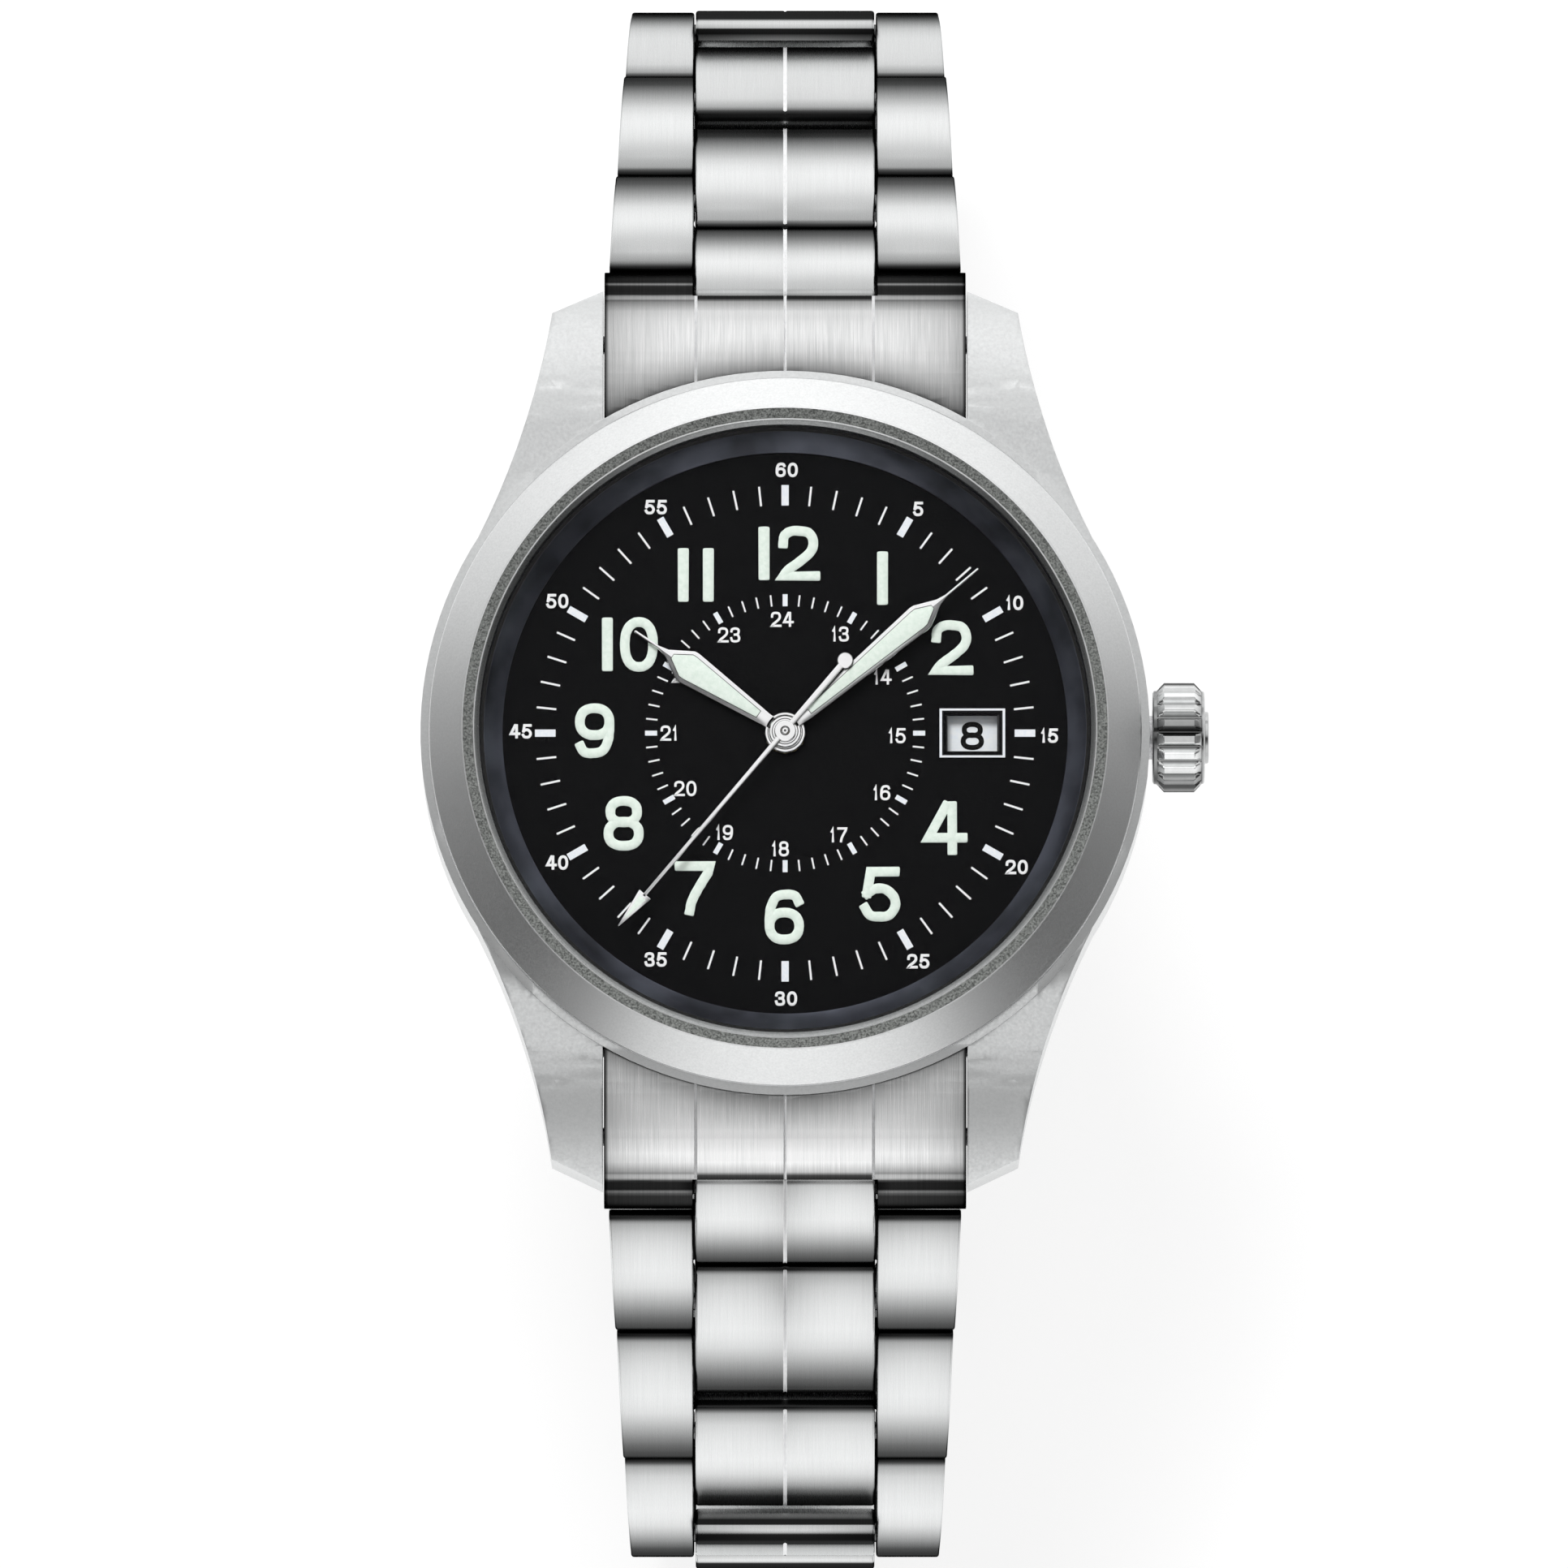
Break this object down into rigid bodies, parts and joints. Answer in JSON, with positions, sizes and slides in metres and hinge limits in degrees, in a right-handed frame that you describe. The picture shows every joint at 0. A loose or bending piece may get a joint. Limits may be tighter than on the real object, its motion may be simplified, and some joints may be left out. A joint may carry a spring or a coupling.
{
  "type": "field watch",
  "caption": "Three-hand field watch with a date window, fluted crown and steel link bracelet, closed by a folding clasp.",
  "frame": {"origin": "centre of the clasp cover's flat outer face, on which the closed watch stands, under the hands' axis", "axes": "+Z out of the dial along the hands' axis, +Y towards 12 o'clock along the bracelet, +X towards the crown at 3 o'clock"},
  "size_m": [0.0433, 0.087, 0.0448],
  "materials": {
    "case_steel": "brushed",
    "bezel_steel": "polished with a blasted ring",
    "crystal": "clear",
    "gasket": "matt",
    "rehaut": "satin",
    "dial": "matt",
    "date_frame": "satin",
    "date_ring": "matt",
    "case_back": "brushed",
    "plate": "plated",
    "bridge": "plated",
    "winding_steel": "sunray brushed",
    "brass": "polished",
    "hands": "polished",
    "crown_steel": "polished",
    "plain_steel": "polished",
    "end_links": "brushed",
    "links": "brushed",
    "clasp_cover": "brushed",
    "clasp_blades": "polished"
  },
  "bodies": {
    "head": {"mid_case": "case_steel", "bezel": "bezel_steel", "crystal": "crystal", "rehaut_ring": "rehaut", "dial": "dial", "date_frame": "date_frame", "case_back": "case_back", "back_crystal": "crystal", "main_plate": "plate", "train_bridge": "bridge", "balance_cock": "bridge", "crown_tube": "plain_steel", "end_link_top": "end_links", "end_link_bottom": "end_links", "spring_bar_top": "plain_steel", "spring_bar_bottom": "plain_steel"},
    "date_ring": {"date_ring": "date_ring"},
    "balance": {"balance_wheel": "brass"},
    "minutes": {"cannon_pinion": "brass", "minute_hand": "hands"},
    "minute_wheel": {"minute_wheel": "brass"},
    "hours": {"hour_wheel": "brass", "hour_hand": "hands"},
    "seconds": {"seconds_pinion": "brass", "seconds_hand": "hands"},
    "crown_slide": {"crown_gasket": "gasket"},
    "crown": {"crown": "crown_steel", "winding_stem": "plain_steel"},
    "crown_wheel": {"crown_wheel": "winding_steel"},
    "ratchet_wheel": {"ratchet_wheel": "winding_steel"},
    "link_top_1": {"link_top_1": "links"},
    "link_top_2": {"link_top_2": "links"},
    "link_top_3": {"link_top_3": "links"},
    "link_top_4": {"link_top_4": "links"},
    "link_top_5": {"link_top_5": "links"},
    "link_top_6": {"link_top_6": "links"},
    "link_top_7": {"link_top_7": "links"},
    "link_bottom_1": {"link_bottom_1": "links"},
    "link_bottom_2": {"link_bottom_2": "links"},
    "link_bottom_3": {"link_bottom_3": "links"},
    "link_bottom_4": {"link_bottom_4": "links"},
    "link_bottom_5": {"link_bottom_5": "links"},
    "link_bottom_6": {"link_bottom_6": "links"},
    "link_bottom_7": {"link_bottom_7": "links"},
    "clasp_blade_b": {"clasp_blade_b": "clasp_blades", "fold_pin": "plain_steel"},
    "clasp_blade_a": {"clasp_blade_a": "clasp_blades"},
    "clasp_cover": {"clasp_cover": "clasp_cover", "clasp_bar": "plain_steel", "cover_pin": "plain_steel"},
    "button_right": {"button_right": "plain_steel"},
    "button_left": {"button_left": "plain_steel"}
  },
  "joints": [
    {"name": "minute_turn", "type": "hinge", "parent": "head", "child": "minutes", "pos_m": [0, 0, 0.04108], "axis": [0, 0, -1], "continuous": true},
    {"name": "hour_turn", "type": "hinge", "parent": "head", "child": "hours", "pos_m": [0, 0, 0.04108], "axis": [0, 0, -1], "continuous": true},
    {"name": "seconds_turn", "type": "hinge", "parent": "head", "child": "seconds", "pos_m": [0, 0, 0.04108], "axis": [0, 0, -1], "continuous": true},
    {"name": "minute_wheel_turn", "type": "hinge", "parent": "head", "child": "minute_wheel", "pos_m": [-0.00099, -0.00271, 0.04108], "axis": [0, 0, -1], "continuous": true},
    {"name": "date_turn", "type": "hinge", "parent": "head", "child": "date_ring", "pos_m": [0, 0, 0.04108], "axis": [0, 0, -1], "continuous": true},
    {"name": "crown_wheel_turn", "type": "hinge", "parent": "head", "child": "crown_wheel", "pos_m": [0.0062, 0.0036, 0.03808], "axis": [0, 0, 1], "continuous": true},
    {"name": "ratchet_turn", "type": "hinge", "parent": "head", "child": "ratchet_wheel", "pos_m": [0.0008, 0.0062, 0.03808], "axis": [0, 0, 1], "continuous": true},
    {"name": "balance_swing", "type": "hinge", "parent": "head", "child": "balance", "pos_m": [0.0056, -0.0062, 0.03898], "axis": [0, 0, 1], "range_deg": [-135, 135], "stiffness_Nm_per_rad": 0.0000006},
    {"name": "crown_pull", "type": "slide", "parent": "head", "child": "crown_slide", "axis": [1, 0, 0], "range_m": [0, 0.0015]},
    {"name": "crown_turn", "type": "hinge", "parent": "crown_slide", "child": "crown", "pos_m": [0.021, 0, 0.04008], "axis": [1, 0, 0], "continuous": true},
    {"name": "hinge_top_1", "type": "hinge", "parent": "head", "child": "link_top_1", "pos_m": [0, 0.0246, 0.03898], "axis": [1, 0, 0], "range_deg": [0, 40]},
    {"name": "hinge_top_2", "type": "hinge", "parent": "link_top_1", "child": "link_top_2", "pos_m": [0, 0.03046, 0.03406], "axis": [1, 0, 0], "range_deg": [0, 8]},
    {"name": "hinge_top_3", "type": "hinge", "parent": "link_top_2", "child": "link_top_3", "pos_m": [0, 0.03697, 0.02799], "axis": [1, 0, 0], "range_deg": [0, 19]},
    {"name": "hinge_top_4", "type": "hinge", "parent": "link_top_3", "child": "link_top_4", "pos_m": [0, 0.04182, 0.02053], "axis": [1, 0, 0], "range_deg": [0, 44]},
    {"name": "hinge_top_5", "type": "hinge", "parent": "link_top_4", "child": "link_top_5", "pos_m": [0, 0.04089, 0.01167], "axis": [1, 0, 0], "range_deg": [0, 41]},
    {"name": "hinge_top_6", "type": "hinge", "parent": "link_top_5", "child": "link_top_6", "pos_m": [0, 0.03493, 0.00506], "axis": [1, 0, 0], "range_deg": [0, 36]},
    {"name": "hinge_top_7", "type": "hinge", "parent": "link_top_6", "child": "link_top_7", "pos_m": [0, 0.02642, 0.00246], "axis": [1, 0, 0], "range_deg": [0, 18]},
    {"name": "hinge_bottom_1", "type": "hinge", "parent": "head", "child": "link_bottom_1", "pos_m": [0, -0.0246, 0.03898], "axis": [-1, 0, 0], "range_deg": [0, 40]},
    {"name": "hinge_bottom_2", "type": "hinge", "parent": "link_bottom_1", "child": "link_bottom_2", "pos_m": [0, -0.03046, 0.03406], "axis": [-1, 0, 0], "range_deg": [0, 8]},
    {"name": "hinge_bottom_3", "type": "hinge", "parent": "link_bottom_2", "child": "link_bottom_3", "pos_m": [0, -0.03697, 0.02799], "axis": [-1, 0, 0], "range_deg": [0, 19]},
    {"name": "hinge_bottom_4", "type": "hinge", "parent": "link_bottom_3", "child": "link_bottom_4", "pos_m": [0, -0.04182, 0.02053], "axis": [-1, 0, 0], "range_deg": [0, 44]},
    {"name": "hinge_bottom_5", "type": "hinge", "parent": "link_bottom_4", "child": "link_bottom_5", "pos_m": [0, -0.04089, 0.01167], "axis": [-1, 0, 0], "range_deg": [0, 41]},
    {"name": "hinge_bottom_6", "type": "hinge", "parent": "link_bottom_5", "child": "link_bottom_6", "pos_m": [0, -0.03493, 0.00506], "axis": [-1, 0, 0], "range_deg": [0, 36]},
    {"name": "hinge_bottom_7", "type": "hinge", "parent": "link_bottom_6", "child": "link_bottom_7", "pos_m": [0, -0.02642, 0.00246], "axis": [-1, 0, 0], "range_deg": [0, 18]},
    {"name": "clasp_end_hinge", "type": "hinge", "parent": "link_bottom_7", "child": "clasp_blade_b", "pos_m": [0, -0.01844, 0.0019], "axis": [-1, 0, 0], "range_deg": [0, 25]},
    {"name": "clasp_fold", "type": "hinge", "parent": "clasp_blade_b", "child": "clasp_blade_a", "pos_m": [0, 0.01464, 0.00235], "axis": [1, 0, 0], "range_deg": [0, 100]},
    {"name": "clasp_cover_hinge", "type": "hinge", "parent": "clasp_blade_a", "child": "clasp_cover", "pos_m": [0, -0.01514, 0.00175], "axis": [-1, 0, 0], "range_deg": [0, 110]},
    {"name": "button_right_push", "type": "slide", "parent": "clasp_cover", "child": "button_right", "axis": [-1, 0, 0], "range_m": [0, 0.0004], "stiffness_N_per_m": 600, "springref_m": -0.0004},
    {"name": "button_left_push", "type": "slide", "parent": "clasp_cover", "child": "button_left", "axis": [1, 0, 0], "range_m": [0, 0.0004], "stiffness_N_per_m": 600, "springref_m": -0.0004}
  ],
  "couplings": [
    {"joint": "hour_turn", "follows": "minute_turn", "ratio": 0.083333},
    {"joint": "minute_wheel_turn", "follows": "minute_turn", "ratio": -0.33333},
    {"joint": "seconds_turn", "follows": "minute_turn", "ratio": 60},
    {"joint": "crown_wheel_turn", "follows": "crown_turn", "ratio": 0.75},
    {"joint": "ratchet_turn", "follows": "crown_turn", "ratio": -0.5}
  ]
}
